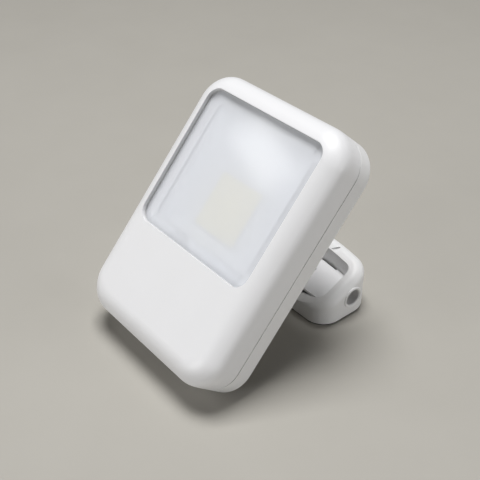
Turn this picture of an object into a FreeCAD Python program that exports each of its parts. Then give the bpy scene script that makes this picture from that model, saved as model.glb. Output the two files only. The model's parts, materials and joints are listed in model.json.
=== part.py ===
import FreeCAD, Part
import math
import os

# LED security light: a flat rounded head on a short arm, hinged in a small wall bracket.
# Millimetres. The wall face is z = 0 and +Z leads away from the wall. +Y is up the wall, +X is to the right of
# someone who faces the light. The origin lies in the wall face, on the bracket's middle line.
# The head is tilted right down, so that its lower rear edge lies in the plane of the wall face. Laid on a
# floor, the light stands on its bracket and on that edge.

os.makedirs("parts", exist_ok=True)

Vec = FreeCAD.Vector
x_dir, y_dir, z_dir = Vec(1, 0, 0), Vec(0, 1, 0), Vec(0, 0, 1)
both = (-1, 1)
past = 1.0                # cuts run this far past the faces that they open

# Head, outside
head_w = 139.0
head_h = 190.0
front_depth = 26.4        # front shell, face to parting line
rear_depth = 15.1         # rear shell, parting line to back
corner_r = 24.0           # corners of the outline
face_inset = 16.0         # the front edge's rounding, measured across the face
face_fall = 15.0          # and measured down the side
face_bend_r = 10.0        # its tighter middle bend
face_slope = 46.0         # degrees turned before the middle bend
side_slope = 10.0         # degrees left after it
rear_edge_r = 4.0
tilt_down = 48.4          # degrees that the head faces down from straight out

# Head, walls and fasteners
front_wall = 3.0
side_wall = 3.0
back_wall = 3.0
seal_gap = 0.5            # parting line, filled by the housing seal
seal_w = 2.0
seal_inset = 0.8
seat_gap = 0.3            # between pieces that lie beside each other
pin_gap = 0.05            # radial clearance round bolts and screws
boss_r = 4.5
boss_inset = 4.0          # boss axis in from the inside of the wall
boss_start = 33.0         # front end of the front shell's bosses, from the back
screw_r = 1.7
screw_head_r = 3.3
screw_head_t = 2.4
screw_seat = 4.0          # screw head's seat, from the back
screw_bite = 12.0         # thread in the front shell
screw_hex_r = 1.5
screw_hex_depth = 1.3

# Window
window_w = 113.0
window_h = 105.3
window_top = 13.5         # from the top of the head to the window
window_r = 9.5
pane_t = 2.0
pane_lap = 3.5            # pane hidden behind the front wall
window_seal_t = 0.8

# Reflector, LED and heat sink
mouth_inset = 8.4         # reflector's mouth, in from the window's edges
led_drop = 15.0           # LED below the window's middle
mouth_r = 4.0
flange_t = 2.5
reflector_t = 1.5
led_size = 40.0           # lit square of the LED
led_t = 0.8
led_margin = 2.0
led_back = 26.0           # front of the LED board, from the back of the head
led_board_t = 1.6
pad_t = 0.5
sink_w = 100.0
sink_h = 84.0
sink_base_t = 3.0
fin_count = 9
fin_t = 2.0
led_board_w = 76.0
led_corner_r = 1.0
led_screw_r = 1.5
led_screw_inset = 5.0
led_screw_bite = 2.6

# Driver
driver_w = 100.0
driver_h = 46.0
driver_y = -60.0
board_t = 1.6
driver_back = 9.0         # back of the driver board, from the back of the head
post_r = 3.0
post_inset = 5.0
board_screw_r = 1.3
board_screw_head_r = 2.5
board_screw_head_t = 1.6
board_screw_bite = 4.5
transformer_x = 2.0
core_w = 24.0
core_h = 22.0
core_t = 16.0
core_limb = 5.0
can_r = 6.0               # two capacitors
can_h = 20.0
can_x = (27.5, 40.5)
can_y = -54.0
choke_x = -31.0
choke_y = -54.0
choke_ring_r = 6.5
choke_wire_r = 3.5
socket_x = -22.0          # three-way wire terminal at the board's lower edge
socket_y = -77.0
socket_w = 22.0
socket_d = 8.0
socket_h = 9.0
socket_pitch = 7.0
socket_hole_depth = 5.0

# Radar sensor
radar_w = 40.0
radar_h = 28.0
radar_t = 1.2
radar_y = -62.0
radar_front = 34.0        # front of the sensor board, from the back of the head
radar_can_size = 16.0
radar_can_t = 2.5

# Lead gland and vent in the back of the head
gland_y = -62.0
gland_thread_r = 6.0
gland_bore_r = 3.5
gland_flats = 18.0
gland_flange_t = 4.0
gland_dome_r = 7.5
gland_dome_t = 8.0
gland_nut_t = 3.0
gland_thread_out = 4.5
vent_side = 27.5          # vent's axis, in from the head's right side
vent_sink_gap = 1.0       # vent's stem below the heat sink
vent_stem_r = 4.0
vent_cap_r = 7.0
vent_cap_t = 2.5
vent_stem_out = 1.0

# Arm and its two hinges
eye_r = 9.0
eye_w = 17.0              # width of each eye, and of the shank
shank_t = 16.0
shank_edge_r = 3.0
swivel_back = 12.0        # swivel axis behind the head's back
hinge_bolt_r = 3.0
washer_t = 0.9
washer_r = 7.5
hinge_gap = 0.1           # washer to lug
lug_t = 7.0
hinge_head_r = 5.0
hinge_head_t = 3.0
hinge_nut_flats = 10.0
hinge_nut_t = 3.0
hinge_hex_flats = 4.0
hinge_hex_depth = 2.0
pocket_gap = 0.2          # round bolt heads and nuts in their pockets

# Wall bracket
bracket_w = 108.0
bracket_up = 28.8         # from the origin to its bowed back edge, in the middle
bracket_down = 25.95      # and to its straight front edge
bracket_r = 16.0
bracket_back_r = 18.0     # back corners
bracket_bow_r = 259.0     # bow of the back edge, in plan
rim_mid_z = 28.6          # rim height over the bracket's middle
rim_slope = 24.0          # degrees, rising up the wall
rim_edge_r = 7.0
rim_side = 10.2           # width of the rim at the sides
rim_back = 13.1
rim_front = 6.85
tray_r = 6.5
dip_r = 131.0             # shallow dip in the front rim, where the lead comes out
dip_z = 9.95              # its lowest line, at the front
lead_notch_r = 5.5
lead_notch_z = 11.5
base_t = 3.0
wall_seal_t = 1.5
wall_seal_w = 6.0
wall_seal_inset = 0.8
hinge_y = -6.6
hinge_z = 24.0
cover_mid_z = 21.35       # top of the cover plate over the bracket's middle
cover_slope = 4.5         # degrees, rising up the wall
cover_t = 2.0
cover_gap = 0.3
cover_notch_gap = 0.7
cover_post_r = 3.0
cover_post_sunk = 1.0     # posts grown this far into the tray's walls
slot_w = 17.0             # pry recess in the cover plate's back edge
slot_t = 1.3
slot_x = 19.8
mark_x = 22.9             # triangular mark sunk in the back rim, pointing up the wall
mark_y = 15.8
mark_w = 9.2
mark_h = 5.3
mark_depth = 1.5
entry_y = 4.75            # conduit entry in the right side
entry_z = 16.4
entry_r = 6.3
entry_depth = 8.8         # down to the conduit's stop
entry_stop_r = 5.0
entry_lip = 0.8
collar_r = 8.6
collar_out = 0.8
collar_edge_r = 0.7
wall_hole_r = 2.6
wall_hole_x = 30.0
wall_hole_y = -13.5

# Terminals in the bracket
terminal_w = 16.0         # across its ways
terminal_l = 14.0
terminal_h = 10.0
terminal_lug_gap = 2.5    # block to the left ear
terminal_y = -1.0
terminal_ways = 3
terminal_screw_r = 1.9
terminal_screw_depth = 3.0
terminal_screw_sunk = 1.0
slit_w = 0.6
slit_depth = 0.8
wire_hole_r = 1.7
wire_hole_z = 4.0         # wire hole above the block's foot
earth_x = 21.5
earth_y = -8.0
earth_r = 2.0
earth_head_r = 3.8
earth_head_t = 2.4
earth_boss_r = 4.0
earth_boss_h = 4.0
earth_tip_gap = 0.5       # screw tip above the bracket's floor

# Values that follow
head_d = front_depth + seal_gap + rear_depth
parting = head_d - front_depth
tilt = math.radians(tilt_down)
# distance from the tilt axis to the head's back that lays the rounded lower rear edge in the wall plane
reach = ((head_h / 2 - rear_edge_r) * math.sin(tilt) + rear_edge_r - hinge_z) / math.cos(tilt) - rear_edge_r
arm_len = reach - swivel_back
window_y = head_h / 2 - window_top - window_h / 2
led_y = window_y - led_drop
pane_front = head_d - front_wall - window_seal_t
pane_back = pane_front - pane_t
pane_w = window_w + 2 * pane_lap
pane_h = window_h + 2 * pane_lap
pane_r = window_r + pane_lap
vent_x = head_w / 2 - vent_side
vent_y = led_y - sink_h / 2 - vent_sink_gap - vent_stem_r
led_board_back = led_back - led_board_t
sink_front = led_board_back - pad_t
fin_front = sink_front - sink_base_t
lug_in = eye_w / 2 + washer_t + hinge_gap
lug_out = lug_in + lug_t
base_top = wall_seal_t + base_t
tray_x = bracket_w / 2 - rim_side
tray_back = bracket_up - rim_back
tray_front = rim_front - bracket_down
tray_bow_r = bracket_bow_r - rim_back
terminal_x = -(lug_out + terminal_lug_gap + terminal_w / 2)
notch_half = lug_out + cover_notch_gap


def box(x0, x1, y0, y1, z0, z1):
    return Part.makeBox(x1 - x0, y1 - y0, z1 - z0, Vec(x0, y0, z0))


def rod(radius, start, end):
    """Cylinder between two points."""
    return Part.makeCylinder(radius, (end - start).Length, start, end - start)


def upright(radius, x, y, z0, z1):
    return rod(radius, Vec(x, y, z0), Vec(x, y, z1))


def tube(outer, inner, x, y, z0, z1):
    return upright(outer, x, y, z0, z1).cut(upright(inner, x, y, z0, z1))


def join(first, *others):
    return first.fuse(list(others)).removeSplitter()


def hexagon(flats, x, y, z0, z1):
    """Upright hexagonal prism, with its size across the flats."""
    r = flats / math.sqrt(3)
    points = [Vec(x + r * math.cos(math.pi * i / 3), y + r * math.sin(math.pi * i / 3), z0) for i in range(6)]
    return Part.Face(Part.makePolygon(points + points[:1])).extrude(Vec(0, 0, z1 - z0))


def outline(width, height, radius, z, x=0.0, y=0.0):
    """Wire of a rectangle with round corners, anticlockwise from its lower right side."""
    w, h, s = width / 2 - radius, height / 2 - radius, radius * math.sqrt(0.5)
    edges = []
    for cx, cy, sx, sy in ((w, -h, 1, -1), (w, h, 1, 1), (-w, h, -1, 1), (-w, -h, -1, -1)):
        ends = [Vec(x + cx + sx * radius, y + cy, z), Vec(x + cx, y + cy + sy * radius, z)]
        if sx * sy < 0:
            ends.reverse()
        middle = Vec(x + cx + sx * s, y + cy + sy * s, z)
        edges.append((ends[0], middle, ends[1]))
    path = []
    for i, (start, middle, end) in enumerate(edges):
        path.append(Part.Arc(start, middle, end).toShape())
        path.append(Part.LineSegment(end, edges[(i + 1) % 4][0]).toShape())
    return Part.Wire(path)


def plate(width, height, radius, z0, z1, x=0.0, y=0.0):
    """Plate with round corners between two levels."""
    return Part.Face(outline(width, height, radius, z0, x, y)).extrude(Vec(0, 0, z1 - z0))


def frame(outer, inner, z0, z1, y=0.0):
    """Flat ring between two rounded rectangles, each (width, height, radius)."""
    return plate(*outer, z0, z1, y=y).cut(plate(*inner, z0 - past, z1 + past, y=y))


def spread(profile, width, height, radius):
    """Round-cornered slab with a closed profile for its edge, drawn outwards from the corner's axis."""
    face = Part.Face(profile)
    w, h = width / 2 - radius, height / 2 - radius
    pieces = [box(-w, w, -h, h, face.BoundBox.ZMin, face.BoundBox.ZMax)]
    for turn, x, y, run in ((0, w, h, 2 * h), (90, -w, h, 2 * w), (180, -w, -h, 2 * h), (270, w, -h, 2 * w)):
        for piece in (face.revolve(Vec(0, 0, 0), z_dir, 90), face.extrude(Vec(0, -run, 0))):
            piece.rotate(Vec(0, 0, 0), z_dir, turn)
            piece.translate(Vec(x, y, 0))
            pieces.append(piece)
    return join(*pieces)


def arc_to(centre, radius, start, end):
    """Arc in the profile plane, its angles in degrees from the outward direction towards the front."""
    points = []
    for angle in (start, (start + end) / 2, end):
        a = math.radians(angle)
        points.append(Vec(centre[0] + radius * math.cos(a), 0, centre[1] + radius * math.sin(a)))
    return Part.Arc(*points).toShape(), points[0], points[-1]


def head_profile(offset, floor, rear_round):
    """Edge of the head, with a soft three-arc rounding in front. The inside is an offset of the outside."""
    s1, c1 = math.sin(math.radians(face_slope)), math.cos(math.radians(face_slope))
    s2, c2 = math.cos(math.radians(side_slope)), math.sin(math.radians(side_slope))
    # radii of the two long arcs, from the rounding's width across the face and down the side
    a, b = face_inset - face_bend_r * (s2 - s1), face_fall - face_bend_r * (c1 - c2)
    det = s1 * c2 - (1 - s2) * (1 - c1)
    face_r = (a * c2 - b * (1 - s2)) / det
    side_r = (b * s1 - a * (1 - c1)) / det
    r = corner_r - offset
    top = head_d - offset
    side = (corner_r - side_r, head_d - face_fall)
    bend = (side[0] + (side_r - face_bend_r) * s2, side[1] + (side_r - face_bend_r) * c2)
    face = (corner_r - face_inset, head_d - face_r)
    arcs = [arc_to(side, side_r - offset, 0, side_slope),
            arc_to(bend, face_bend_r - offset, side_slope, 90 - face_slope),
            arc_to(face, face_r - offset, 90 - face_slope, 90)]
    edges = [Part.LineSegment(Vec(0, 0, top), Vec(0, 0, floor)).toShape()]
    if rear_round > 0:
        low = arc_to((r - rear_round, floor + rear_round), rear_round, -90, 0)
        edges += [Part.LineSegment(Vec(0, 0, floor), low[1]).toShape(), low[0]]
        foot = low[2]
    else:
        foot = Vec(r, 0, floor)
        edges.append(Part.LineSegment(Vec(0, 0, floor), foot).toShape())
    edges.append(Part.LineSegment(foot, arcs[0][1]).toShape())
    edges += [arc[0] for arc in arcs]
    edges.append(Part.LineSegment(arcs[-1][2], Vec(0, 0, top)).toShape())
    return Part.Wire(Part.__sortEdges__(edges))


def tilted(shape, out=0.0):
    """Carries a shape from the tilt axis's own frame, z along the arm, to its place."""
    placed = shape.copy()
    placed.translate(Vec(0, 0, out))
    placed.rotate(Vec(0, 0, 0), x_dir, tilt_down)
    placed.translate(Vec(0, hinge_y, hinge_z))
    return placed


def save(name, shape):
    shape.exportStep("parts/" + name + ".step")


def save_head(name, shape):
    """Saves a piece drawn with z = 0 at the head's back."""
    save(name, tilted(shape, reach))


def grid(xs, ys):
    return [(x, y) for x in xs for y in ys]


# Places that several pieces share
corner_reach = (corner_r - side_wall - boss_inset) * math.sqrt(0.5)
boss_x = head_w / 2 - corner_r + corner_reach
boss_y = head_h / 2 - corner_r + corner_reach
boss_places = grid((-boss_x, boss_x), (-boss_y, boss_y))
driver_posts = grid([s * (driver_w / 2 - post_inset) for s in both],
                    [driver_y + s * (driver_h / 2 - post_inset) for s in both])
radar_posts = grid([s * (radar_w / 2 - post_inset) for s in both],
                   [radar_y + s * (radar_h / 2 - post_inset) for s in both])
led_screw_places = grid([s * (led_board_w / 2 - led_screw_inset) for s in both],
                        [led_y + s * (led_board_w / 2 - led_screw_inset) for s in both])


def front_shell():
    inner = (head_w - 2 * side_wall, head_h - 2 * side_wall, corner_r - side_wall)
    shell = spread(head_profile(0, parting, 0), head_w, head_h, corner_r)
    hollow = spread(head_profile(side_wall, parting - past, 0), *inner)
    shell = shell.cut(hollow)
    room = plate(pane_w + 2 * seat_gap, pane_h + 2 * seat_gap, pane_r + seat_gap, parting,
                 head_d - front_wall, y=window_y)
    opening = plate(window_w, window_h, window_r, pane_back, head_d + past, y=window_y)
    bosses = [upright(boss_r, x, y, parting, boss_start) for x, y in boss_places]
    posts = [upright(post_r, x, y, radar_front, head_d - side_wall) for x, y in radar_posts]
    shell = join(shell, *bosses, *posts).cut(opening)
    shell = shell.cut(room.cut(box(-head_w, head_w, -head_h, head_h, 0, boss_start + seat_gap)))
    pilots = [upright(screw_r + pin_gap, x, y, parting - past, parting + screw_bite + past)
              for x, y in boss_places]
    pilots += [upright(board_screw_r + pin_gap, x, y, radar_front - past, radar_front + board_screw_bite)
               for x, y in radar_posts]
    return shell.cut(Part.makeCompound(pilots))


def swivel_lugs():
    """Two ears on the back of the head, above and below the arm's eye."""
    lugs = []
    for side in both:
        y0, y1 = sorted((side * lug_in, side * lug_out))
        ear = join(rod(eye_r, Vec(0, y0, -swivel_back), Vec(0, y1, -swivel_back)),
                   box(-eye_r, eye_r, y0, y1, -swivel_back, back_wall / 2))
        lugs.append(ear)
    far = lug_out + past
    bore = rod(hinge_bolt_r + pin_gap, Vec(0, -far, -swivel_back), Vec(0, far, -swivel_back))
    head = rod(hinge_head_r + pocket_gap, Vec(0, lug_out - hinge_head_t, -swivel_back),
               Vec(0, far, -swivel_back))
    nut = hexagon(hinge_nut_flats + 2 * pocket_gap, 0, 0, lug_out - hinge_nut_t, far)
    nut.rotate(Vec(0, 0, 0), x_dir, 90)
    nut.translate(Vec(0, 0, -swivel_back))
    return lugs, [bore, head, nut]


def rear_shell():
    edge = parting - seal_gap
    body = spread(head_profile(0, 0, rear_edge_r), head_w, head_h, corner_r)
    body = body.common(box(-head_w, head_w, -head_h, head_h, -past, edge))
    hollow = plate(head_w - 2 * side_wall, head_h - 2 * side_wall, corner_r - side_wall, back_wall, edge + past)
    lugs, cuts = swivel_lugs()
    bosses = [upright(boss_r, x, y, back_wall / 2, edge) for x, y in boss_places]
    posts = [upright(post_r, x, y, back_wall / 2, driver_back) for x, y in driver_posts]
    shell = join(body.cut(hollow), *bosses, *posts, *lugs)
    cuts += [upright(screw_r + pin_gap, x, y, -past, edge + past) for x, y in boss_places]
    cuts += [upright(screw_head_r + pocket_gap, x, y, -past, screw_seat) for x, y in boss_places]
    cuts += [upright(board_screw_r + pin_gap, x, y, driver_back - board_screw_bite, driver_back + past)
             for x, y in driver_posts]
    cuts.append(upright(gland_thread_r + pin_gap, 0, gland_y, -past, back_wall + past))
    cuts.append(upright(vent_stem_r + pin_gap, vent_x, vent_y, -past, back_wall + past))
    return shell.cut(Part.makeCompound(cuts))


def cap_screw(x, y, seat, tip, shank, head_r, head_t, toward=1):
    """Screw with a round head on its seat, a hexagon socket in it and its tip at another level."""
    top = seat - toward * head_t
    socket_end = top + toward * screw_hex_depth
    head = upright(head_r, x, y, min(seat, top), max(seat, top))
    stem = upright(shank, x, y, min(seat, tip), max(seat, tip))
    socket = hexagon(2 * screw_hex_r, x, y, min(top, socket_end), max(top, socket_end))
    return join(head, stem).cut(socket)


def housing_seal():
    inset = 2 * seal_inset
    outer = (head_w - inset, head_h - inset, corner_r - seal_inset)
    inner = (outer[0] - 2 * seal_w, outer[1] - 2 * seal_w, outer[2] - seal_w)
    return frame(outer, inner, parting - seal_gap, parting)


def window_seal():
    return frame((pane_w, pane_h, pane_r), (window_w, window_h, window_r), pane_front,
                 pane_front + window_seal_t, y=window_y)


def reflector():
    mouth = (window_w - 2 * mouth_inset, window_h - 2 * mouth_inset, mouth_r)
    throat = (led_size + 2 * led_margin, led_size + 2 * led_margin, mouth_r)
    wall = 2 * reflector_t
    bowl_top = pane_back - flange_t
    bowl_in = Part.makeLoft([outline(*throat, led_back, y=led_y), outline(*mouth, bowl_top, y=window_y)],
                            True, True)
    bowl_out = Part.makeLoft([outline(throat[0] + wall, throat[1] + wall, mouth_r + reflector_t, led_back,
                                      y=led_y),
                              outline(mouth[0] + wall, mouth[1] + wall, mouth_r + reflector_t, bowl_top,
                                      y=window_y)], True, True)
    flange = plate(pane_w, pane_h, pane_r, bowl_top, pane_back, y=window_y)
    opening = plate(*mouth, bowl_top, pane_back + past, y=window_y)
    return join(flange, bowl_out).cut(bowl_in).cut(opening)


def led_screw_holes(z0, z1):
    return Part.makeCompound([upright(led_screw_r + pin_gap, x, y, z0 - past, z1 + past)
                              for x, y in led_screw_places])


def led_board():
    board = plate(led_board_w, led_board_w, post_r, led_board_back, led_back, y=led_y)
    return board.cut(led_screw_holes(led_board_back, led_back))


def thermal_pad():
    pad = plate(led_board_w, led_board_w, post_r, sink_front, led_board_back, y=led_y)
    return pad.cut(led_screw_holes(sink_front, led_board_back))


def heat_sink():
    y0, y1 = led_y - sink_h / 2, led_y + sink_h / 2
    base = box(-sink_w / 2, sink_w / 2, y0, y1, fin_front, sink_front)
    pitch = (sink_w - fin_t) / (fin_count - 1)
    fins = [box(x - fin_t / 2, x + fin_t / 2, y0, y1, back_wall, fin_front)
            for x in [-(sink_w - fin_t) / 2 + i * pitch for i in range(fin_count)]]
    holes = [upright(led_screw_r + pin_gap, x, y, sink_front - led_screw_bite, sink_front + past)
             for x, y in led_screw_places]
    return join(base, *fins).cut(Part.makeCompound(holes))


def driver_board():
    board = box(-driver_w / 2, driver_w / 2, driver_y - driver_h / 2, driver_y + driver_h / 2,
                driver_back, driver_back + board_t)
    holes = [upright(board_screw_r + pin_gap, x, y, 0, head_d) for x, y in driver_posts]
    return board.cut(Part.makeCompound(holes))


def transformer(level):
    """Ferrite core with its wound bobbin between the two limbs."""
    half, side, inside = core_w / 2, core_h / 2, core_w / 2 - core_limb
    z0, z1 = level + core_limb, level + core_t - core_limb

    def block(dx, dy, low, high):
        return box(transformer_x - dx, transformer_x + dx, driver_y - dy, driver_y + dy, low, high)

    core = block(half, side, level, level + core_t).cut(block(inside, side, z0, z1))
    return core, block(inside, side + core_limb / 2, z0, z1)


def capacitors(level):
    return [upright(can_r, x, can_y, level, level + can_h) for x in can_x]


def choke(level):
    ring = Part.makeTorus(choke_ring_r, choke_wire_r)
    ring.translate(Vec(choke_x, choke_y, level + choke_wire_r))
    return ring


def driver_terminal(level):
    y0, y1 = socket_y - socket_d / 2, socket_y + socket_d / 2
    block = box(socket_x - socket_w / 2, socket_x + socket_w / 2, y0, y1, level, level + socket_h)
    holes = []
    for way in (-1, 0, 1):
        x, z = socket_x + way * socket_pitch, level + socket_h / 2
        holes.append(rod(wire_hole_r, Vec(x, y0 - past, z), Vec(x, y0 + socket_hole_depth, z)))
    return block.cut(Part.makeCompound(holes))


def radar_board():
    board = box(-radar_w / 2, radar_w / 2, radar_y - radar_h / 2, radar_y + radar_h / 2,
                radar_front - radar_t, radar_front)
    holes = [upright(board_screw_r + pin_gap, x, y, 0, head_d) for x, y in radar_posts]
    return board.cut(Part.makeCompound(holes))


def radar_can():
    half = radar_can_size / 2
    back = radar_front - radar_t
    return box(-half, half, radar_y - half, radar_y + half, back - radar_can_t, back)


def lead_gland():
    stem = upright(gland_thread_r, 0, gland_y, 0, back_wall + gland_thread_out)
    flange = hexagon(gland_flats, 0, gland_y, -gland_flange_t, 0)
    dome = upright(gland_dome_r, 0, gland_y, -gland_flange_t - gland_dome_t, -gland_flange_t)
    rim = [edge for edge in dome.Edges if abs(edge.BoundBox.ZMax + gland_flange_t + gland_dome_t) < 1e-6]
    dome = dome.makeFillet(gland_dome_r / 3, rim)
    bore = upright(gland_bore_r, 0, gland_y, -head_d, head_d)
    return join(flange, stem, dome).cut(bore)


def gland_nut():
    nut = hexagon(gland_flats, 0, gland_y, back_wall, back_wall + gland_nut_t)
    return nut.cut(upright(gland_thread_r + pin_gap, 0, gland_y, 0, head_d))


def vent_plug():
    return join(upright(vent_cap_r, vent_x, vent_y, -vent_cap_t, 0),
                upright(vent_stem_r, vent_x, vent_y, 0, back_wall + vent_stem_out))


def hinge_hardware():
    """Bolt, nut and two washers of one hinge, drawn along z with the bolt's head on top."""
    bolt = join(upright(hinge_bolt_r, 0, 0, -lug_out, lug_out - hinge_head_t),
                upright(hinge_head_r, 0, 0, lug_out - hinge_head_t, lug_out))
    bolt = bolt.cut(hexagon(hinge_hex_flats, 0, 0, lug_out - hinge_hex_depth, lug_out + past))
    nut = hexagon(hinge_nut_flats, 0, 0, -lug_out, -lug_out + hinge_nut_t)
    nut = nut.cut(upright(hinge_bolt_r + pin_gap, 0, 0, -lug_out - past, 0))
    washers = []
    for side in both:
        z0, z1 = sorted((side * eye_w / 2, side * (eye_w / 2 + washer_t)))
        washers.append(tube(washer_r, hinge_bolt_r + pin_gap, 0, 0, z0, z1))
    return bolt, nut, washers


def turned(shape, axis, angle, out):
    """Turns a hinge piece from z onto its own axis and moves it along the arm."""
    placed = shape.copy()
    placed.rotate(Vec(0, 0, 0), axis, angle)
    placed.translate(Vec(0, 0, out))
    return placed


def arm():
    half, thick = eye_w / 2, shank_t / 2
    shank = box(-half, half, -thick, thick, 0, arm_len)
    long_edges = [e for e in shank.Edges if e.BoundBox.ZLength > arm_len / 2]
    shank = shank.makeFillet(shank_edge_r, long_edges)
    low_eye = rod(eye_r, Vec(-half, 0, 0), Vec(half, 0, 0))
    top_eye = rod(eye_r, Vec(0, -half, arm_len), Vec(0, half, arm_len))
    low_bore = rod(hinge_bolt_r + pin_gap, Vec(-eye_w, 0, 0), Vec(eye_w, 0, 0))
    top_bore = rod(hinge_bolt_r + pin_gap, Vec(0, -eye_w, arm_len), Vec(0, eye_w, arm_len))
    return join(low_eye, shank, top_eye).cut(Part.makeCompound([low_bore, top_bore]))


def below(mid_z, slope):
    """Everything in the bracket's reach below a plane that rises up the wall."""
    far = bracket_w
    rise = far * math.tan(math.radians(slope))
    points = [Vec(-far, -far, -far), Vec(-far, far, -far), Vec(-far, far, mid_z + rise),
              Vec(-far, -far, mid_z - rise)]
    return Part.Face(Part.makePolygon(points + points[:1])).extrude(Vec(2 * far, 0, 0))


def below_cover():
    return below(cover_mid_z - cover_t / math.cos(math.radians(cover_slope)), cover_slope)


def bow_corner(half_w, back, radius, bow_r):
    """Centre of a back corner that runs into the bowed edge, and the direction in which the two meet."""
    bow_y = back - bow_r
    x = half_w - radius
    y = bow_y + math.sqrt((bow_r - radius) ** 2 - x ** 2)
    return x, y, math.degrees(math.atan2(y - bow_y, x))


def bowed_plate(half_w, front, back, front_r, back_r, bow_r, z0, z1):
    """Upright prism with straight sides and front, round corners and a back that bows outwards in plan."""
    x, y, turn = bow_corner(half_w, back, back_r, bow_r)
    front_x, front_y = half_w - front_r, front + front_r
    arcs = []
    for cx, cy, radius, start, end in ((front_x, front_y, front_r, -90, 0), (x, y, back_r, 0, turn),
                                       (0, back - bow_r, bow_r, turn, 180 - turn),
                                       (-x, y, back_r, 180 - turn, 180), (-front_x, front_y, front_r, 180, 270)):
        turns = [math.radians(a) for a in (start, (start + end) / 2, end)]
        arcs.append([Vec(cx + radius * math.cos(a), cy + radius * math.sin(a), z0) for a in turns])
    path = []
    for i, points in enumerate(arcs):
        following = arcs[(i + 1) % len(arcs)][0]
        path.append(Part.Arc(*points).toShape())
        if following.distanceToPoint(points[-1]) > 0.001:
            path.append(Part.LineSegment(points[-1], following).toShape())
    return Part.Face(Part.Wire(path)).extrude(Vec(0, 0, z1 - z0))


def bracket_plan(inset, z0, z1):
    return bowed_plate(bracket_w / 2 - inset, inset - bracket_down, bracket_up - inset, bracket_r - inset,
                       bracket_back_r - inset, bracket_bow_r - inset, z0, z1)


def tray_plan(inset, z0, z1):
    return bowed_plate(tray_x - inset, tray_front + inset, tray_back - inset, tray_r - inset, tray_r - inset,
                       tray_bow_r - inset, z0, z1)


def rim_z(y):
    return rim_mid_z + y * math.tan(math.radians(rim_slope))


def lead_way():
    """Shallow dip across the front rim, and the notch in its middle that the head's lead passes through."""
    slope = math.radians(rim_slope)
    along, out = Vec(0, math.cos(slope), math.sin(slope)), Vec(0, -math.sin(slope), math.cos(slope))
    depth = (rim_z(-bracket_down) - dip_z) * math.cos(slope)
    length = (rim_front + depth * math.sin(slope)) / math.cos(slope)
    middle = Vec(0, -bracket_down, dip_z) + out * dip_r
    dip = rod(dip_r, middle - along * past, middle + along * length)
    front_y, back_y = -bracket_down - past, tray_front + past
    notch = rod(lead_notch_r, Vec(0, front_y, lead_notch_z), Vec(0, back_y, lead_notch_z))
    return [dip, notch, box(-lead_notch_r, lead_notch_r, front_y, back_y, lead_notch_z, rim_mid_z)]


def bracket_lugs():
    """Two ears that carry the tilt bolt, with a round pocket for its head and a hexagonal one for its nut."""
    ears = []
    for side in both:
        x0, x1 = sorted((side * lug_in, side * lug_out))
        ears.append(join(rod(eye_r, Vec(x0, hinge_y, hinge_z), Vec(x1, hinge_y, hinge_z)),
                         box(x0, x1, hinge_y - eye_r, hinge_y + eye_r, base_top - past, hinge_z)))
    far = lug_out + past
    bore = rod(hinge_bolt_r + pin_gap, Vec(-far, hinge_y, hinge_z), Vec(far, hinge_y, hinge_z))
    head = rod(hinge_head_r + pocket_gap, Vec(lug_out - hinge_head_t, hinge_y, hinge_z),
               Vec(far, hinge_y, hinge_z))
    nut = hexagon(hinge_nut_flats + 2 * pocket_gap, 0, 0, -far, -lug_out + hinge_nut_t)
    nut = turned(nut, y_dir, 90, 0)
    nut.translate(Vec(0, hinge_y, hinge_z))
    return ears, [bore, head, nut]


def conduit_entry():
    """Collar on the right side, and the conduit's hole with its eased mouth and its stop."""
    mouth_x = bracket_w / 2 + collar_out
    stop_x = mouth_x - entry_depth

    def along(radius, x0, x1):
        return rod(radius, Vec(x0, entry_y, entry_z), Vec(x1, entry_y, entry_z))

    collar = along(collar_r, stop_x, mouth_x)
    rim = [e for e in collar.Edges if e.BoundBox.XMin > mouth_x - 0.01]
    collar = collar.makeFillet(collar_edge_r, rim)
    eased = Part.makeCone(entry_r, entry_r + entry_lip, entry_lip,
                          Vec(mouth_x - entry_lip, entry_y, entry_z), x_dir)
    return collar, [along(entry_r, stop_x, mouth_x + past), along(entry_stop_r, tray_x - past, mouth_x), eased]


def up_mark():
    """Prism that sinks the triangular mark into the sloping rim."""
    half = mark_w / 2
    points = [Vec(mark_x - half, 0, 0), Vec(mark_x + half, 0, 0), Vec(mark_x, mark_h, 0)]
    mark = Part.Face(Part.makePolygon(points + points[:1])).extrude(Vec(0, 0, rim_edge_r))
    mark.translate(Vec(0, 0, -mark_depth))
    mark.rotate(Vec(0, 0, 0), x_dir, rim_slope)
    mark.translate(Vec(0, mark_y, rim_z(mark_y)))
    return mark


def wall_bracket():
    block = bracket_plan(0, wall_seal_t, bracket_w).common(below(rim_mid_z, rim_slope))
    walls = [e for e in block.Edges if e.BoundBox.XLength < 0.01 and e.BoundBox.YLength < 0.01]
    foot = [e for e in block.Edges if e.BoundBox.ZMax < wall_seal_t + 0.01]
    rim = [e for e in block.Edges if not any(e.isSame(other) for other in walls + foot)]
    block = block.makeFillet(rim_edge_r, rim)
    ears, cuts = bracket_lugs()
    collar, entry_cuts = conduit_entry()
    posts = [upright(cover_post_r, x, y, base_top - past, bracket_w).common(below_cover())
             for x, y in cover_post_places()]
    earth = upright(earth_boss_r, earth_x, earth_y, base_top - past, base_top + earth_boss_h)
    body = join(block, collar).cut(tray_plan(0, base_top, bracket_w))
    body = join(body, *ears, *posts, earth)
    cuts += entry_cuts + lead_way()
    cuts += [upright(wall_hole_r, s * wall_hole_x, wall_hole_y, 0, base_top + past) for s in both]
    cuts.append(upright(earth_r + pin_gap, earth_x, earth_y, base_top, base_top + earth_boss_h + past))
    return body.cut(Part.makeCompound(cuts)).cut(up_mark())


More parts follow.
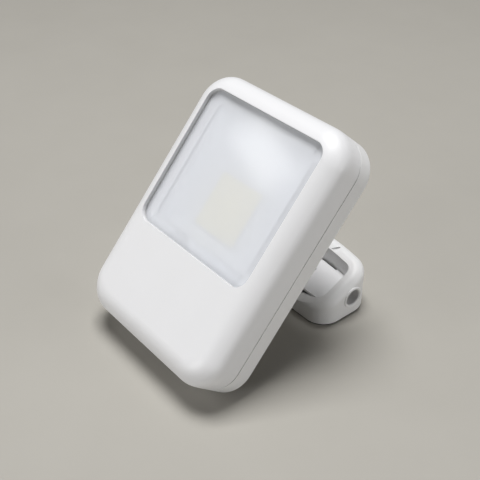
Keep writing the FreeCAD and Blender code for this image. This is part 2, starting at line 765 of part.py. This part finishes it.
def cover_post_places():
    """Two posts grown into the tray's back corners and two into its sides near the front."""
    corner_x, corner_y, _ = bow_corner(tray_x, tray_back, tray_r, tray_bow_r)
    out = (tray_r - cover_post_r + cover_post_sunk) * math.sqrt(0.5)
    side_x = tray_x - cover_post_r + cover_post_sunk
    front_y = tray_front + 2 * cover_post_r
    return grid([-corner_x - out, corner_x + out], [corner_y + out]) + grid([-side_x, side_x], [front_y])


def cover_plate():
    cover = tray_plan(cover_gap, 0, bracket_w).common(below(cover_mid_z, cover_slope)).cut(below_cover())
    notch = box(-notch_half, notch_half, tray_front, hinge_y + eye_r + cover_notch_gap, 0, bracket_w)
    kept = upright(tray_bow_r - cover_gap - slot_t, 0, tray_back - tray_bow_r, 0, bracket_w)
    slot = box(slot_x - slot_w / 2, slot_x + slot_w / 2, 0, bracket_up, 0, bracket_w).cut(kept)
    return cover.cut(notch).cut(slot)


def wall_seal():
    inner = bracket_plan(wall_seal_inset + wall_seal_w, -past, wall_seal_t + past)
    return bracket_plan(wall_seal_inset, 0, wall_seal_t).cut(inner)


def terminal_block():
    x0, x1 = terminal_x - terminal_w / 2, terminal_x + terminal_w / 2
    y0, y1 = terminal_y - terminal_l / 2, terminal_y + terminal_l / 2
    top, wire_z = base_top + terminal_h, base_top + wire_hole_z
    block = box(x0, x1, y0, y1, base_top, top)
    cuts = []
    for x, y in terminal_ways_at():
        cuts.append(upright(terminal_screw_r + pin_gap, x, y, top - terminal_screw_depth, top + past))
        cuts.append(rod(wire_hole_r, Vec(x, y0 - past, wire_z), Vec(x, y1 + past, wire_z)))
    return block.cut(Part.makeCompound(cuts))


def terminal_ways_at():
    pitch = terminal_w / terminal_ways
    xs = [terminal_x + pitch * (i - (terminal_ways - 1) / 2) for i in range(terminal_ways)]
    return grid(xs, [terminal_y + s * terminal_l / 4 for s in both])


def terminal_screws():
    top = base_top + terminal_h
    screws = []
    for x, y in terminal_ways_at():
        screw = upright(terminal_screw_r, x, y, top - terminal_screw_depth, top - terminal_screw_sunk)
        slit = box(x - terminal_screw_r, x + terminal_screw_r, y - slit_w / 2, y + slit_w / 2,
                   top - terminal_screw_sunk - slit_depth, top)
        screws.append(screw.cut(slit))
    return Part.makeCompound(screws)


def build_head():
    pilot_tip = parting + screw_bite
    driver_front = driver_back + board_t
    radar_rear = radar_front - radar_t
    save_head("front_shell", front_shell())
    save_head("rear_shell", rear_shell())
    save_head("housing_seal", housing_seal())
    save_head("window_seal", window_seal())
    save_head("window_pane", plate(pane_w, pane_h, pane_r, pane_back, pane_front, y=window_y))
    save_head("reflector", reflector())
    save_head("led_emitter", plate(led_size, led_size, led_corner_r, led_back, led_back + led_t, y=led_y))
    save_head("led_board", led_board())
    save_head("thermal_pad", thermal_pad())
    save_head("heat_sink", heat_sink())
    save_head("led_screws", Part.makeCompound([
        cap_screw(x, y, led_back, sink_front - led_screw_bite, led_screw_r, board_screw_head_r,
                  board_screw_head_t, toward=-1) for x, y in led_screw_places]))
    save_head("housing_screws", Part.makeCompound([
        cap_screw(x, y, screw_seat, pilot_tip, screw_r, screw_head_r, screw_head_t) for x, y in boss_places]))
    save_head("driver_board", driver_board())
    core, winding = transformer(driver_front)
    save_head("transformer_core", core)
    save_head("transformer_winding", winding)
    save_head("driver_capacitors", Part.makeCompound(capacitors(driver_front)))
    save_head("driver_choke", choke(driver_front))
    save_head("driver_terminal", driver_terminal(driver_front))
    save_head("driver_screws", Part.makeCompound([
        cap_screw(x, y, driver_front, driver_back - board_screw_bite, board_screw_r, board_screw_head_r,
                  board_screw_head_t, toward=-1) for x, y in driver_posts]))
    save_head("radar_board", radar_board())
    save_head("radar_can", radar_can())
    save_head("radar_screws", Part.makeCompound([
        cap_screw(x, y, radar_rear, radar_front + board_screw_bite, board_screw_r, board_screw_head_r,
                  board_screw_head_t) for x, y in radar_posts]))
    save_head("lead_gland", lead_gland())
    save_head("gland_nut", gland_nut())
    save_head("vent_plug", vent_plug())


def build_arm():
    bolt, nut, washers = hinge_hardware()
    save("arm", tilted(arm()))
    save("tilt_washers", tilted(Part.makeCompound([turned(w, y_dir, 90, 0) for w in washers])))
    save("swivel_washers", tilted(Part.makeCompound([turned(w, x_dir, -90, arm_len) for w in washers])))
    save("swivel_bolt", tilted(turned(bolt, x_dir, -90, arm_len)))
    save("swivel_nut", tilted(turned(nut, x_dir, -90, arm_len)))


def build_bracket():
    bolt, nut, _ = hinge_hardware()
    for name, piece in (("tilt_bolt", bolt), ("tilt_nut", nut)):
        placed = turned(piece, y_dir, 90, hinge_z)
        placed.translate(Vec(0, hinge_y, 0))
        save(name, placed)
    save("wall_bracket", wall_bracket())
    save("cover_plate", cover_plate())
    save("wall_seal", wall_seal())
    save("terminal_block", terminal_block())
    save("terminal_screws", terminal_screws())
    boss_top = base_top + earth_boss_h
    save("earth_screw", cap_screw(earth_x, earth_y, boss_top, base_top + earth_tip_gap, earth_r, earth_head_r,
                                  earth_head_t, toward=-1))


build_head()
build_arm()
build_bracket()
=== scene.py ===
import json
import math

import bpy
from mathutils import Matrix, Vector


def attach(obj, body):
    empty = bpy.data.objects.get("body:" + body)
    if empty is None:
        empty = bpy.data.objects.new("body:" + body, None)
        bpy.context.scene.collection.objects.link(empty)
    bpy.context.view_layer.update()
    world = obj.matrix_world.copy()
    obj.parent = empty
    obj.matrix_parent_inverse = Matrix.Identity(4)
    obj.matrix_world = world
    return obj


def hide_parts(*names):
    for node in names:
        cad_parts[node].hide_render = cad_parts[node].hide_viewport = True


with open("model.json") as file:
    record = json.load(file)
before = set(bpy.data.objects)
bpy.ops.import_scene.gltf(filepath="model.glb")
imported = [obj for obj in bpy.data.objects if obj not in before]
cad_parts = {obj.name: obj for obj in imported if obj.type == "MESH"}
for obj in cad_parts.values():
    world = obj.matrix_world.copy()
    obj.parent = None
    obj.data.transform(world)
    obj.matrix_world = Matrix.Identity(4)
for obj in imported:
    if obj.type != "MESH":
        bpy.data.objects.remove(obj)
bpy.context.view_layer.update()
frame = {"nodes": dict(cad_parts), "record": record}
nodes = frame["nodes"]
mm = 0.001

# How the head stands in the frame, as in the source: drawn flat with z = 0 at its back, then tilted down
headPlace = {"hinge": (0, -6.6, 24.0), "reach": 68.37, "tiltDown": 48.4}
headMatrix = (Matrix.Translation(Vector(headPlace["hinge"]) * mm)
              @ Matrix.Rotation(math.radians(headPlace["tiltDown"]), 4, "X")
              @ Matrix.Translation((0, 0, headPlace["reach"] * mm)))


# A material's socket, so that shader maths reads as plain expressions
class Signal:
    def __init__(self, finish, socket):
        self.finish = finish
        self.socket = socket

    def maths(self, operation, first, second):
        return self.finish.node("Math", {"operation": operation}, {0: first, 1: second})

    def __add__(self, other):
        return self.maths("ADD", self, other)

    def __radd__(self, other):
        return self.maths("ADD", other, self)

    def __sub__(self, other):
        return self.maths("SUBTRACT", self, other)

    def __rsub__(self, other):
        return self.maths("SUBTRACT", other, self)

    def __mul__(self, other):
        return self.maths("MULTIPLY", self, other)

    def __rmul__(self, other):
        return self.maths("MULTIPLY", other, self)

    def above(self, level):
        return self.maths("GREATER_THAN", self, level)


# A material in the making: every node comes from node(), with its settings first and then its sockets
class Finish:
    def __init__(self, name, store=bpy.data.materials):
        self.material = store.new(name)
        self.material.use_nodes = True
        self.tree = self.material.node_tree
        self.tree.nodes.clear()
        self.place = self.node("TexCoord", output="Object")

    def node(self, kind, settings=None, sockets=None, output=0):
        made = self.tree.nodes.new("ShaderNode" + kind)
        for key, value in (settings or {}).items():
            setattr(made, key, value)
        for key, value in (sockets or {}).items():
            if isinstance(value, Signal):
                self.tree.links.new(value.socket, made.inputs[key])
            else:
                made.inputs[key].default_value = value
        return Signal(self, made.outputs[output] if len(made.outputs) else None)

    def stretched(self, scale):
        return self.node("Mapping", {}, {"Vector": self.place, "Scale": scale})

    def noise(self, size, detail=2.0, rough=0.5, place=None):
        return self.node("TexNoise", {}, {"Vector": place or self.place, "Scale": 1 / (size * mm),
                                          "Detail": detail, "Roughness": rough}, output="Fac")

    def cells(self, size, feature="F1"):
        return self.node("TexVoronoi", {"feature": feature},
                         {"Vector": self.place, "Scale": 1 / (size * mm)}, output="Distance")

    def mix(self, factor, first, second):
        return self.node("Mix", {"data_type": "RGBA"}, {0: factor, 6: (*first, 1), 7: (*second, 1)}, output=2)

    # A value that strays to both sides of its middle with a noise
    def stray(self, middle, noise, spread):
        return middle + (noise - 0.5) * spread

    def bump(self, height, depth, strength, under=None):
        sockets = {"Height": height, "Distance": depth * mm, "Strength": strength}
        if under:
            sockets["Normal"] = under
        return self.node("Bump", {}, sockets)

    def surface(self, sockets):
        shader = self.node("BsdfPrincipled", {}, sockets)
        self.node("OutputMaterial", {}, {"Surface": shader})
        return self.material


# Each kind of finish has the noises' detail and roughness, and its bumps' strengths, in a dictionary above it
plasticKind = {"cloud": 3, "grain": (3, 0.6), "patch": 2, "patchSize": 6, "ripple": 0.5, "relief": 0.6, "ior": 1.5}


def mouldedPlastic(name, look):
    finish = Finish(name)
    cloud = finish.noise(look["cloud"], plasticKind["cloud"])
    grain = finish.noise(look["grain"], *plasticKind["grain"])
    patch = finish.noise(look["grain"] * plasticKind["patchSize"], plasticKind["patch"])
    ripple = finish.bump(cloud, look["waveDepth"], plasticKind["ripple"])
    return finish.surface({
        "Base Color": finish.mix(cloud, look["colour"], look["shade"]),
        "Roughness": finish.stray(look["rough"], patch, look["roughSpread"]), "IOR": plasticKind["ior"],
        "Normal": finish.bump(grain, look["grainDepth"], plasticKind["relief"], ripple)})


coatKind = {"peel": (2, 0.4), "speck": (4, 0.7), "cloud": 2, "cloudShare": 0.7, "speckShare": 0.3,
            "peelRelief": 0.6, "speckRelief": 0.5, "ior": 1.5}


def powderCoat(name, look):
    finish = Finish(name)
    peel = finish.noise(look["peel"], *coatKind["peel"])
    speck = finish.noise(look["speck"], *coatKind["speck"])
    cloud = finish.noise(look["cloud"], coatKind["cloud"])
    stain = cloud * coatKind["cloudShare"] + speck * coatKind["speckShare"]
    peeled = finish.bump(peel, look["peelDepth"], coatKind["peelRelief"])
    return finish.surface({
        "Base Color": finish.mix(stain, look["colour"], look["shade"]),
        "Roughness": finish.stray(look["rough"], speck, look["roughSpread"]), "IOR": coatKind["ior"],
        "Normal": finish.bump(speck, look["speckDepth"], coatKind["speckRelief"], peeled)})


glassKind = {"frost": (2, 0.6), "cloud": 2, "relief": 0.3}


# Milky glass: each face of the pane hides a part of what lies behind it
def milkyGlass(name, look, rough):
    finish = Finish(name)
    frost = finish.noise(look["frost"], *glassKind["frost"])
    cloud = finish.noise(look["cloud"], glassKind["cloud"])
    return finish.surface({
        "Base Color": finish.mix(cloud, look["colour"], look["shade"]),
        "Roughness": finish.stray(rough, frost, look["roughSpread"]), "IOR": look["ior"], "Alpha": look["milk"],
        "Normal": finish.bump(frost, look["frostDepth"], glassKind["relief"])})


rubberKind = {"grain": (4, 0.7), "bloom": 3, "roughSpread": 0.12, "relief": 0.7}


def softRubber(name, look):
    finish = Finish(name)
    grain = finish.noise(look["grain"], *rubberKind["grain"])
    bloom = finish.noise(look["bloom"], rubberKind["bloom"])
    return finish.surface({
        "Base Color": finish.mix(bloom, look["colour"], look["shade"]),
        "Roughness": finish.stray(look["rough"], bloom, rubberKind["roughSpread"]),
        "Normal": finish.bump(grain, look["grainDepth"], rubberKind["relief"])})


metalKind = {"streak": (3, 0.6), "cloud": 2, "metallic": 1.0, "relief": 0.5}


def satinMetal(name, look):
    finish = Finish(name)
    streak = finish.noise(look["streak"], *metalKind["streak"], finish.stretched(look["stretch"]))
    cloud = finish.noise(look["cloud"], metalKind["cloud"])
    return finish.surface({
        "Base Color": finish.mix(cloud, look["colour"], look["shade"]), "Metallic": metalKind["metallic"],
        "Roughness": finish.stray(look["rough"], streak, look["roughSpread"]),
        "Normal": finish.bump(streak, look["streakDepth"], metalKind["relief"])})


boardKind = {"weave": 2, "copperShare": 0.55, "weaveShare": 0.2, "roughSpread": 0.1, "relief": 0.4}


def circuitBoard(name, look):
    finish = Finish(name)
    copper = 1 - finish.cells(look["track"], "DISTANCE_TO_EDGE").above(look["trackWidth"])
    weave = finish.noise(look["weave"], boardKind["weave"])
    pattern = copper * boardKind["copperShare"] + weave * boardKind["weaveShare"]
    return finish.surface({
        "Base Color": finish.mix(pattern, look["colour"], look["shade"]),
        "Roughness": finish.stray(look["rough"], weave, boardKind["roughSpread"]),
        "Normal": finish.bump(copper, look["trackDepth"], boardKind["relief"])})


gelKind = {"grain": 3, "cellShare": 0.8, "grainShare": 0.2, "roughSpread": 0.1, "relief": 0.5}


def phosphorGel(name, look):
    finish = Finish(name)
    cell = finish.cells(look["cell"])
    grain = finish.noise(look["grain"], gelKind["grain"])
    pattern = cell * gelKind["cellShare"] + grain * gelKind["grainShare"]
    return finish.surface({
        "Base Color": finish.mix(pattern, look["colour"], look["shade"]),
        "Roughness": finish.stray(look["rough"], grain, gelKind["roughSpread"]),
        "Normal": finish.bump(cell, look["cellDepth"], gelKind["relief"])})


wireKind = {"bandsPerTurn": 6.28, "wobble": 0.6, "metallic": 0.9, "roughSpread": 0.08, "relief": 0.8}


def woundWire(name, look):
    finish = Finish(name)
    turns = finish.node("TexWave", {"wave_type": "BANDS", "bands_direction": look["along"]}, {
        "Vector": finish.place, "Scale": 1 / (look["wire"] * mm) / wireKind["bandsPerTurn"],
        "Distortion": wireKind["wobble"]}, output="Fac")
    return finish.surface({
        "Base Color": finish.mix(turns, look["shade"], look["colour"]), "Metallic": wireKind["metallic"],
        "Roughness": look["rough"] + turns * wireKind["roughSpread"],
        "Normal": finish.bump(turns, look["wireDepth"], wireKind["relief"])})


# The finishes, with sizes and depths in mm
white = {"cloud": 22, "grain": 0.55, "colour": (0.80, 0.80, 0.815), "shade": (0.775, 0.775, 0.785),
         "rough": 0.42, "roughSpread": 0.10, "grainDepth": 0.012, "waveDepth": 0.05}
coat = {"cloud": 26, "peel": 1.6, "speck": 0.35, "colour": (0.79, 0.79, 0.795), "shade": (0.76, 0.76, 0.76),
        "rough": 0.47, "roughSpread": 0.12, "peelDepth": 0.03, "speckDepth": 0.008}
glass = {"frost": 0.35, "cloud": 60, "colour": (0.93, 0.945, 0.985), "shade": (0.91, 0.93, 0.975),
         "front": 0.10, "back": 0.34, "roughSpread": 0.04, "ior": 1.45, "milk": 0.45, "frostDepth": 0.003}
sealGrey = {"grain": 0.25, "bloom": 9, "colour": (0.60, 0.60, 0.595), "shade": (0.64, 0.64, 0.63),
            "rough": 0.72, "grainDepth": 0.02}
sealBlack = {"grain": 0.25, "bloom": 9, "colour": (0.03, 0.03, 0.03), "shade": (0.055, 0.055, 0.055),
             "rough": 0.7, "grainDepth": 0.02}
padPink = {"grain": 0.3, "bloom": 6, "colour": (0.5, 0.36, 0.38), "shade": (0.6, 0.45, 0.46),
           "rough": 0.8, "grainDepth": 0.02}
mirrorWhite = {"cloud": 15, "grain": 0.3, "colour": (0.80, 0.815, 0.84), "shade": (0.77, 0.785, 0.81),
               "rough": 0.28, "roughSpread": 0.08, "grainDepth": 0.004, "waveDepth": 0.02}
blackNylon = {"cloud": 6, "grain": 0.4, "colour": (0.03, 0.03, 0.032), "shade": (0.05, 0.05, 0.052),
              "rough": 0.45, "roughSpread": 0.1, "grainDepth": 0.01, "waveDepth": 0.02}
canSleeve = {"cloud": 5, "grain": 0.5, "colour": (0.02, 0.02, 0.03), "shade": (0.035, 0.035, 0.05),
             "rough": 0.3, "roughSpread": 0.1, "grainDepth": 0.004, "waveDepth": 0.03}
clampGrey = {"cloud": 8, "grain": 0.5, "colour": (0.42, 0.45, 0.44), "shade": (0.38, 0.41, 0.40),
             "rough": 0.4, "roughSpread": 0.1, "grainDepth": 0.008, "waveDepth": 0.02}
glandWhite = {"cloud": 9, "grain": 0.5, "colour": (0.76, 0.76, 0.75), "shade": (0.72, 0.72, 0.71),
              "rough": 0.5, "roughSpread": 0.1, "grainDepth": 0.012, "waveDepth": 0.02}
ferrite = {"cloud": 5, "grain": 0.4, "colour": (0.05, 0.05, 0.055), "shade": (0.08, 0.08, 0.085),
           "rough": 0.62, "roughSpread": 0.12, "grainDepth": 0.02, "waveDepth": 0.03}
extruded = {"streak": 0.8, "stretch": (1, 0.05, 0.05), "cloud": 14, "colour": (0.70, 0.71, 0.72),
            "shade": (0.62, 0.63, 0.64), "rough": 0.36, "roughSpread": 0.2, "streakDepth": 0.01}
zincSteel = {"streak": 0.5, "stretch": (1, 1, 0.3), "cloud": 3, "colour": (0.56, 0.56, 0.55),
             "shade": (0.46, 0.46, 0.45), "rough": 0.32, "roughSpread": 0.16, "streakDepth": 0.008}
tinned = {"streak": 0.6, "stretch": (0.2, 1, 1), "cloud": 4, "colour": (0.66, 0.66, 0.65),
          "shade": (0.58, 0.58, 0.57), "rough": 0.3, "roughSpread": 0.14, "streakDepth": 0.006}
greenMask = {"track": 4.5, "trackWidth": 0.09, "weave": 0.8, "colour": (0.02, 0.13, 0.05),
             "shade": (0.06, 0.27, 0.11), "rough": 0.35, "trackDepth": 0.035}
whiteMask = {"track": 9, "trackWidth": 0.06, "weave": 0.8, "colour": (0.80, 0.80, 0.78),
             "shade": (0.72, 0.72, 0.70), "rough": 0.35, "trackDepth": 0.035}
phosphor = {"cell": 3.2, "grain": 0.3, "colour": (0.84, 0.76, 0.42), "shade": (0.86, 0.80, 0.52),
            "rough": 0.4, "cellDepth": 0.2}
copperWinding = {"along": "X", "wire": 0.5, "colour": (0.60, 0.27, 0.11), "shade": (0.24, 0.10, 0.04),
                 "rough": 0.3, "wireDepth": 0.25}

finishes = {
    "white_moulding": mouldedPlastic("whiteMoulding", white),
    "white_casting": powderCoat("whitePowderCoat", coat),
    "frosted_pane": milkyGlass("paneGlass", glass, glass["front"]),
    "seal_grey": softRubber("greySeal", sealGrey),
    "seal_black": softRubber("blackSeal", sealBlack),
    "reflector_white": mouldedPlastic("reflectorWhite", mirrorWhite),
    "phosphor": phosphorGel("phosphorGel", phosphor),
    "board_white": circuitBoard("whiteBoard", whiteMask),
    "board_green": circuitBoard("greenBoard", greenMask),
    "pad_pink": softRubber("thermalPad", padPink),
    "bare_aluminium": satinMetal("extrudedAluminium", extruded),
    "steel": satinMetal("zincSteel", zincSteel),
    "washer_nylon": mouldedPlastic("blackNylon", blackNylon),
    "ferrite": mouldedPlastic("ferrite", ferrite),
    "copper_wire": woundWire("copperWinding", copperWinding),
    "can_black": mouldedPlastic("capacitorSleeve", canSleeve),
    "terminal_grey": mouldedPlastic("clampGrey", clampGrey),
    "gland_white": mouldedPlastic("glandNylon", glandWhite),
    "tin": satinMetal("tinnedCan", tinned),
}
print("finishes ready:", len(finishes))

slotOf = {row["node"]: row["material_slot"] for row in frame["record"]["subparts"]}
bodyOf = {node: body for body, members in frame["record"]["behaviour"]["bodies"].items() for node in members}
for name, node in nodes.items():
    for slot in node.material_slots:
        slot.material = finishes[slotOf[name]]
print("carried-over nodes painted:", len(nodes))

smoothAngle = math.radians(32)


def pick(*pieces):
    bpy.ops.object.select_all(action="DESELECT")
    for piece in pieces:
        piece.select_set(True)
    bpy.context.view_layer.objects.active = pieces[0]


def editMesh(piece):
    pick(piece)
    bpy.ops.object.mode_set(mode="EDIT")
    bpy.ops.mesh.select_all(action="SELECT")


def applyModifier(piece, kind, **settings):
    pick(piece)
    modifier = piece.modifiers.new(kind.title(), kind)
    for key, value in settings.items():
        setattr(modifier, key, value)
    bpy.ops.object.modifier_apply(modifier=modifier.name)


def settle(piece, body, slot, *replaced):
    piece.data.materials.clear()
    piece.data.materials.append(finishes[slot])
    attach(piece, body)
    if replaced:
        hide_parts(*replaced)
    return piece


# Per node: its piece's name, the eased edge in mm, then the bevel's steps and the least sharp angle that it eases
easedNodes = {
    "front_shell": ("frontShell", 0.2), "rear_shell": ("rearShell", 0.25), "wall_bracket": ("wallBracket", 0.15),
    "arm": ("hingeArm", 0.3, 2, 75), "cover_plate": ("coverPlate", 0.12), "lead_gland": ("leadGland", 0.3),
    "window_pane": ("windowPane", 0.2), "reflector": ("reflectorBowl", 0.3), "wall_seal": ("wallSeal", 0.3),
    "housing_seal": ("housingSeal", 0), "window_seal": ("windowSeal", 0), "vent_plug": ("ventPlug", 0.4),
    "housing_screws": ("housingScrews", 0.2), "swivel_bolt": ("swivelBolt", 0.25),
    "swivel_nut": ("swivelNut", 0.25), "tilt_bolt": ("tiltBolt", 0.25), "tilt_nut": ("tiltNut", 0.25),
    "tilt_washers": ("tiltWashers", 0.1), "swivel_washers": ("swivelWashers", 0.1),
    "terminal_block": ("terminalBlock", 0.2), "terminal_screws": ("terminalScrews", 0.08),
    "earth_screw": ("earthScrew", 0.2),
}
meshCare = {"weld": 1e-6, "flat": 0.3, "normalWeight": 60}  # m, degrees, weight of large faces


# A node's own shape, cleaned and with its sharp edges eased, as a piece that stands for the node
def easedCopy(node, name, edge, steps=2, sharp=34):
    piece = bpy.data.objects.new(name, nodes[node].data.copy())
    bpy.context.scene.collection.objects.link(piece)
    editMesh(piece)
    bpy.ops.mesh.customdata_custom_splitnormals_clear()
    bpy.ops.mesh.remove_doubles(threshold=meshCare["weld"])
    bpy.ops.mesh.dissolve_limited(angle_limit=math.radians(meshCare["flat"]))
    bpy.ops.object.mode_set(mode="OBJECT")
    if edge:
        applyModifier(piece, "BEVEL", width=edge * mm, segments=steps, limit_method="ANGLE",
                      angle_limit=math.radians(sharp), use_clamp_overlap=False)
    applyModifier(piece, "TRIANGULATE", min_vertices=5)
    bpy.ops.object.shade_smooth_by_angle(angle=smoothAngle)
    applyModifier(piece, "WEIGHTED_NORMAL", keep_sharp=True, weight=meshCare["normalWeight"])
    return settle(piece, bodyOf[node], slotOf[node], node)


eased = {node: easedCopy(node, *look) for node, look in easedNodes.items()}
print("eased pieces:", len(eased))

# The pane's back is frosted
backFacing = 0.9
pane = eased["window_pane"].data
pane.materials.append(milkyGlass("paneFrost", glass, glass["back"]))
inward = headMatrix.to_3x3() @ Vector((0, 0, -1))
for face in pane.polygons:
    face.material_index = 1 if face.normal.dot(inward) > backFacing else 0

# Painted shade: the reflector's upright mouth wall gets a dark grey finish that stands in for the shadow line
# along the mouth's edge
mouthPaintedShade = {"cloud": 15, "grain": 0.3, "colour": (0.20, 0.205, 0.21), "shade": (0.24, 0.245, 0.25),
             "rough": 0.4, "roughSpread": 0.08, "grainDepth": 0.004, "waveDepth": 0.02}
mouthPaintedShadeZone = {"low": 33.0, "halfWidth": 49.5, "lean": 0.2}
bowl = eased["reflector"].data
# The dark grey here is painted shade; it goes on the upright mouth faces picked below
bowl.materials.append(mouldedPlastic("reflectorMouthPaintedShade", mouthPaintedShade))
toFlatHead = headMatrix.inverted()
for face in bowl.polygons:
    spot = toFlatHead @ face.center / mm
    upright = abs(face.normal.dot(inward)) < mouthPaintedShadeZone["lean"]
    if upright and spot.z > mouthPaintedShadeZone["low"] and abs(spot.x) < mouthPaintedShadeZone["halfWidth"]:
        face.material_index = 1
print("pane and reflector finished")


# Small shapes are drawn flat in the head's own frame, in mm, and seated in one go
def seat(pieces, name, body, slot):
    pick(*pieces)
    if len(pieces) > 1:
        bpy.ops.object.join()
    whole = pieces[0]
    bpy.ops.object.transform_apply(location=True, rotation=True, scale=True)
    whole.data.transform(headMatrix @ Matrix.Diagonal((mm, mm, mm, 1)))
    whole.name = name
    bpy.ops.object.shade_smooth_by_angle(angle=smoothAngle)
    return settle(whole, body, slot)


def easedBlock(low, high, rounding):
    middle = [(a + b) / 2 for a, b in zip(low, high)]
    bpy.ops.mesh.primitive_cube_add(size=1, location=middle)
    block = bpy.context.active_object
    block.scale = [b - a for a, b in zip(low, high)]
    bpy.ops.object.transform_apply(location=True, rotation=True, scale=True)
    editMesh(block)
    bpy.ops.mesh.bevel(offset=rounding, offset_type="OFFSET", segments=2, affect="EDGES")
    bpy.ops.object.mode_set(mode="OBJECT")
    return block


def copyPiece(piece):
    twin = piece.copy()
    twin.data = piece.data.copy()
    bpy.context.scene.collection.objects.link(twin)
    return twin


# The first piece and its copies, turned evenly about an upright axis
def turnedRound(first, count, axis):
    pieces = [first] + [copyPiece(first) for step in range(count - 1)]
    for step, piece in enumerate(pieces):
        turn = Matrix.Rotation(2 * math.pi * step / count, 4, "Z")
        piece.data.transform(Matrix.Translation((*axis, 0)) @ turn)
    return pieces


gripLook = {"count": 14, "axis": (0, -62), "inner": 7.2, "outer": 8.0, "width": 1.5, "low": -9.6,
            "high": -4.2, "round": 0.3}


def glandRibs(look):
    half = look["width"] / 2
    rib = easedBlock((look["inner"], -half, look["low"]), (look["outer"], half, look["high"]), look["round"])
    return seat(turnedRound(rib, look["count"], look["axis"]), "glandRibs", "head", "gland_white")


damLook = {"middle": (0, 13.85), "level": 26.0, "size": 43.2, "wall": 1.3, "height": 0.9, "round": 0.3,
           "sharp": 40}


# Low wall round the LED's gel: a square ring, raised and eased
def ledDam(look):
    bpy.ops.mesh.primitive_plane_add(size=look["size"], location=(*look["middle"], look["level"]))
    dam = bpy.context.active_object
    editMesh(dam)
    bpy.ops.mesh.inset(thickness=look["wall"])
    bpy.ops.mesh.delete(type="FACE")
    bpy.ops.mesh.select_all(action="SELECT")
    bpy.ops.mesh.extrude_region_move(TRANSFORM_OT_translate={"value": (0, 0, look["height"])})
    bpy.ops.mesh.select_all(action="SELECT")
    bpy.ops.mesh.normals_make_consistent(inside=False)
    bpy.ops.object.mode_set(mode="OBJECT")
    applyModifier(dam, "BEVEL", width=look["round"], segments=2, limit_method="ANGLE",
                  angle_limit=math.radians(look["sharp"]))
    return seat([dam], "ledDam", "head", "reflector_white")


breatherLook = {"axis": (42, -33.15), "level": -2.5, "ring": 5.0, "bead": 0.45, "ringSteps": 48,
                "beadSteps": 10, "spokes": 6, "spokeWidth": 0.9, "hub": 1.6, "rise": 0.1, "round": 0.15}


# Breather's guard: a bead with spokes on the vent's cap
def ventGuard(look):
    bpy.ops.mesh.primitive_torus_add(
        major_radius=look["ring"], minor_radius=look["bead"], major_segments=look["ringSteps"],
        minor_segments=look["beadSteps"], location=(*look["axis"], look["level"]))
    ring = bpy.context.active_object
    half = look["spokeWidth"] / 2
    spoke = easedBlock((look["hub"], -half, look["level"] - look["bead"]),
                       (look["ring"], half, look["level"] + look["rise"]), look["round"])
    spokes = turnedRound(spoke, look["spokes"], look["axis"])
    return seat([ring] + spokes, "ventGuard", "head", "washer_nylon")


glandRibs(gripLook)
ledDam(damLook)
ventGuard(breatherLook)
print("added pieces ready")

floorLook = {"half": 3.0, "colour": (0.425, 0.408, 0.370), "shade": (0.392, 0.375, 0.338), "cloud": 90,
             "cloudDetail": 4, "cloudRough": 0.6, "rough": 0.7}


def makeFloor(look):
    bpy.ops.mesh.primitive_plane_add(size=2 * look["half"], location=(0, 0, 0))
    floor = bpy.context.active_object
    floor.name = "floor"
    finish = Finish("paleFloor")
    cloud = finish.noise(look["cloud"], look["cloudDetail"], look["cloudRough"])
    floor.data.materials.append(finish.surface({
        "Base Color": finish.mix(cloud, look["colour"], look["shade"]), "Roughness": look["rough"]}))


skyLook = {"colour": (1, 0.985, 0.95), "strength": 0.01, "backdrop": 0.42}
headMiddle = (0, -0.06, 0.07)
softboxes = {
    "keySoftbox": {"way": (-0.1, 0.06, 0.98), "aim": headMiddle, "distance": 2.2, "size": (1.0, 1.0), "watts": 54},
    "frontStrip": {"way": (-0.12, -0.95, 0.18), "aim": headMiddle, "distance": 1.5, "size": (0.5, 0.25),
                   "watts": 7.5},
    "sideStrip": {"way": (0.93, 0.3, 0.18), "aim": headMiddle, "distance": 1.5, "size": (1.0, 0.25), "watts": 6.4},
    "windowGlow": {"way": (-0.651, -0.564, 0.508), "aim": (0.0122, -0.0484, 0.1382), "distance": 1.5,
                   "size": (0.16, 0.10), "watts": 0.5},
}


def addSoftbox(name, look):
    lamp = bpy.data.lights.new(name, "AREA")
    lamp.shape = "RECTANGLE"
    lamp.size, lamp.size_y = look["size"]
    lamp.energy = look["watts"]
    box = bpy.data.objects.new(name, lamp)
    bpy.context.scene.collection.objects.link(box)
    way = Vector(look["way"]).normalized()
    box.location = Vector(look["aim"]) + way * look["distance"]
    box.rotation_euler = (-way).to_track_quat("-Z", "Y").to_euler()


def lightStudio(look):
    studio = Finish("studio", bpy.data.worlds)
    seen = studio.node("LightPath", output="Is Camera Ray")  # the pale backdrop lights nothing
    backdrop = studio.node("Background", {}, {"Color": (*look["colour"], 1),
                                              "Strength": seen * look["backdrop"] + look["strength"]})
    studio.node("OutputWorld", {}, {"Surface": backdrop})
    bpy.context.scene.world = studio.material
    for name, softbox in softboxes.items():
        addSoftbox(name, softbox)


cameraLook = {"place": (0.373371, -0.365422, 0.415510), "aim": (-0.625789, 0.515957, -0.584958),
              "lens": 63.75, "sensor": 36, "shift": (-0.001, 0.0007), "nearest": 0.01}


def setCamera(look):
    camera = bpy.data.objects.new("camera", bpy.data.cameras.new("camera"))
    bpy.context.scene.collection.objects.link(camera)
    camera.data.lens = look["lens"]
    camera.data.sensor_width = look["sensor"]
    camera.data.shift_x, camera.data.shift_y = look["shift"]
    camera.data.clip_start = look["nearest"]
    camera.location = look["place"]
    camera.rotation_euler = Vector(look["aim"]).to_track_quat("-Z", "Y").to_euler()
    bpy.context.scene.camera = camera


makeFloor(floorLook)
lightStudio(skyLook)
setCamera(cameraLook)
bpy.context.scene.view_settings.view_transform = "Standard"
print("stage, light and camera ready")
